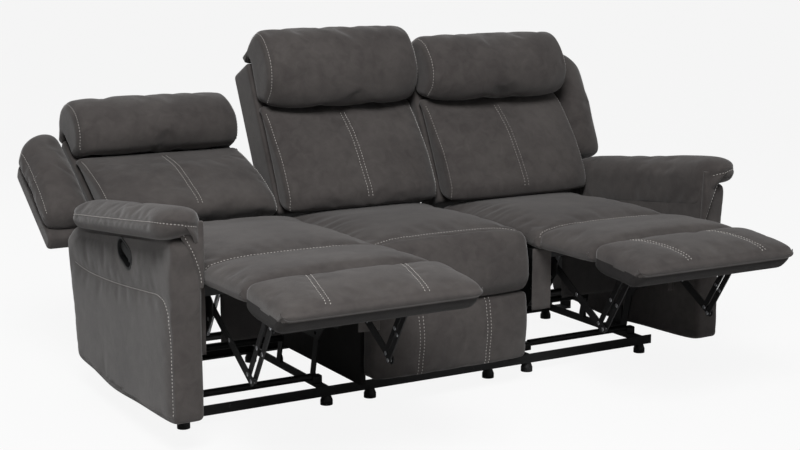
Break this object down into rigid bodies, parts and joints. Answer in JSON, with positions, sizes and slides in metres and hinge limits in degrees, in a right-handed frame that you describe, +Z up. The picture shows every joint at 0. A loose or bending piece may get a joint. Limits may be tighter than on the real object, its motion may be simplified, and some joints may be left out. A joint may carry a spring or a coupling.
{
  "type": "reclining sofa",
  "caption": "Three-seat sofa whose outer seats recline, glide and unfold footrests on steel linkages; the middle seat is fixed.",
  "frame": {"origin": "on the floor under the centre of the sofa as it is posed", "axes": "+X to the right for someone facing the sofa, +Y towards its back, +Z up"},
  "size_m": [2.016, 1.7484, 1.0885],
  "materials": {
    "cover": "brushed imitation suede",
    "shell": "brushed imitation suede",
    "steel": "satin black",
    "zinc": "zinc plated",
    "board": "board under black lining",
    "plastic": "moulded"
  },
  "bodies": {
    "root": {"front_rail": "steel", "rear_rail": "steel", "feet": "plastic", "middle_seat_box": "board", "middle_front_panel": "cover", "middle_front_bib": "cover", "middle_seat_cushion": "cover", "middle_back_cushion": "cover", "middle_headrest": "cover", "middle_back_frame": "shell", "left_base_rails": "steel", "left_arm": "cover", "left_arm_pad": "cover", "left_release_cup": "plastic", "right_base_rails": "steel", "right_arm": "cover", "right_arm_pad": "cover", "right_release_cup": "plastic"},
    "left_lever": {"left_release_lever": "plastic"},
    "left_rear_swing": {"left_rear_swing_links": "steel"},
    "left_front_swing": {"left_front_swing_links": "steel"},
    "left_carriage": {"left_side_plates": "steel"},
    "left_seat": {"left_seat_frame": "steel", "left_assist_springs": "zinc", "left_seat_springs": "zinc", "left_seat_cushion": "cover", "left_chaise_hinge_pad": "cover"},
    "left_back": {"left_back_brackets": "steel", "left_back_frame": "shell", "left_back_cushion": "cover", "left_headrest": "cover", "left_wing_pad": "cover"},
    "left_footrest": {"left_footrest_brackets": "steel", "left_footrest_board": "board", "left_footrest_pad": "cover", "left_chaise_pad": "cover"},
    "left_lift": {"left_lift_links": "steel"},
    "left_reach_rear": {"left_rear_reach_links": "steel"},
    "left_reach_front": {"left_front_reach_links": "steel"},
    "right_lever": {"right_release_lever": "plastic"},
    "right_rear_swing": {"right_rear_swing_links": "steel"},
    "right_front_swing": {"right_front_swing_links": "steel"},
    "right_carriage": {"right_side_plates": "steel"},
    "right_seat": {"right_seat_frame": "steel", "right_assist_springs": "zinc", "right_seat_springs": "zinc", "right_seat_cushion": "cover", "right_chaise_hinge_pad": "cover"},
    "right_back": {"right_back_brackets": "steel", "right_back_frame": "shell", "right_back_cushion": "cover", "right_headrest": "cover", "right_wing_pad": "cover"},
    "right_footrest": {"right_footrest_brackets": "steel", "right_footrest_board": "board", "right_footrest_pad": "cover", "right_chaise_pad": "cover"},
    "right_lift": {"right_lift_links": "steel"},
    "right_reach_rear": {"right_rear_reach_links": "steel"},
    "right_reach_front": {"right_front_reach_links": "steel"}
  },
  "joints": [
    {"name": "left_glide", "type": "hinge", "parent": "root", "child": "left_rear_swing", "pos_m": [0, 0.19061, 0.066], "axis": [-1, 0, 0], "range_deg": [0, 26.99]},
    {"name": "left_front_swing", "type": "hinge", "parent": "root", "child": "left_front_swing", "pos_m": [0, -0.04439, 0.066], "axis": [-1, 0, 0], "range_deg": [0, 26.99]},
    {"name": "left_carriage_pivot", "type": "hinge", "parent": "left_rear_swing", "child": "left_carriage", "pos_m": [0, 0.15561, 0.21186], "axis": [1, 0, 0], "range_deg": [0, 26.99]},
    {"name": "left_seat_slide", "type": "slide", "parent": "left_carriage", "child": "left_seat", "axis": [0, -0.9176, 0.3976], "range_m": [-0.06539, 0]},
    {"name": "left_footrest", "type": "hinge", "parent": "left_seat", "child": "left_footrest", "pos_m": [0, -0.41239, 0.557], "axis": [1, 0, 0], "range_deg": [0, 84], "deforming": ["left_chaise_hinge_pad"]},
    {"name": "left_lift_link", "type": "hinge", "parent": "left_seat", "child": "left_lift", "pos_m": [0, -0.30939, 0.392], "axis": [1, 0, 0], "range_deg": [0, 84]},
    {"name": "left_reach_rear", "type": "hinge", "parent": "left_lift", "child": "left_reach_rear", "pos_m": [0, -0.53637, 0.25913], "axis": [1, 0, 0], "range_deg": [-84.05, 0]},
    {"name": "left_reach_front", "type": "hinge", "parent": "left_lift", "child": "left_reach_front", "pos_m": [0, -0.55842, 0.24535], "axis": [1, 0, 0], "range_deg": [-84.05, 0]},
    {"name": "left_recline", "type": "hinge", "parent": "left_seat", "child": "left_back", "pos_m": [0, 0.20561, 0.216], "axis": [-1, 0, 0], "range_deg": [-32, 0]},
    {"name": "left_release", "type": "hinge", "parent": "root", "child": "left_lever", "pos_m": [-0.939, 0.00344, 0.51931], "axis": [0, 0.342, -0.9397], "range_deg": [0, 14], "stiffness_Nm_per_rad": 1.2},
    {"name": "right_glide", "type": "hinge", "parent": "root", "child": "right_rear_swing", "pos_m": [0, 0.19061, 0.066], "axis": [-1, 0, 0], "range_deg": [0, 26.99]},
    {"name": "right_front_swing", "type": "hinge", "parent": "root", "child": "right_front_swing", "pos_m": [0, -0.04439, 0.066], "axis": [-1, 0, 0], "range_deg": [0, 26.99]},
    {"name": "right_carriage_pivot", "type": "hinge", "parent": "right_rear_swing", "child": "right_carriage", "pos_m": [0, 0.15561, 0.21186], "axis": [1, 0, 0], "range_deg": [0, 26.99]},
    {"name": "right_seat_slide", "type": "slide", "parent": "right_carriage", "child": "right_seat", "axis": [0, -0.9176, 0.3976], "range_m": [0, 0.06539]},
    {"name": "right_footrest", "type": "hinge", "parent": "right_seat", "child": "right_footrest", "pos_m": [0, -0.35239, 0.531], "axis": [1, 0, 0], "range_deg": [0, 84], "deforming": ["right_chaise_hinge_pad"]},
    {"name": "right_lift_link", "type": "hinge", "parent": "right_seat", "child": "right_lift", "pos_m": [0, -0.24939, 0.366], "axis": [1, 0, 0], "range_deg": [0, 84]},
    {"name": "right_reach_rear", "type": "hinge", "parent": "right_lift", "child": "right_reach_rear", "pos_m": [0, -0.47637, 0.23313], "axis": [1, 0, 0], "range_deg": [-84.05, 0]},
    {"name": "right_reach_front", "type": "hinge", "parent": "right_lift", "child": "right_reach_front", "pos_m": [0, -0.49842, 0.21935], "axis": [1, 0, 0], "range_deg": [-84.05, 0]},
    {"name": "right_recline", "type": "hinge", "parent": "right_seat", "child": "right_back", "pos_m": [0, 0.26561, 0.19], "axis": [-1, 0, 0], "range_deg": [0, 32]},
    {"name": "right_release", "type": "hinge", "parent": "root", "child": "right_lever", "pos_m": [0.939, 0.00344, 0.51931], "axis": [0, -0.342, 0.9397], "range_deg": [0, 14], "stiffness_Nm_per_rad": 1.2}
  ],
  "couplings": [
    {"joint": "left_front_swing", "follows": "left_glide", "ratio": 1},
    {"joint": "left_carriage_pivot", "follows": "left_glide", "ratio": 1},
    {"joint": "left_footrest", "follows": "left_glide", "ratio": 3.1126},
    {"joint": "left_lift_link", "follows": "left_glide", "ratio": 3.1126},
    {"joint": "left_reach_rear", "follows": "left_glide", "ratio": -3.1145},
    {"joint": "left_reach_front", "follows": "left_glide", "ratio": -3.1145},
    {"joint": "left_seat_slide", "follows": "left_recline", "m_per_rad": 0.11708},
    {"joint": "right_front_swing", "follows": "right_glide", "ratio": 1},
    {"joint": "right_carriage_pivot", "follows": "right_glide", "ratio": 1},
    {"joint": "right_footrest", "follows": "right_glide", "ratio": 3.1126},
    {"joint": "right_lift_link", "follows": "right_glide", "ratio": 3.1126},
    {"joint": "right_reach_rear", "follows": "right_glide", "ratio": -3.1145},
    {"joint": "right_reach_front", "follows": "right_glide", "ratio": -3.1145},
    {"joint": "right_seat_slide", "follows": "right_recline", "m_per_rad": 0.11708}
  ]
}
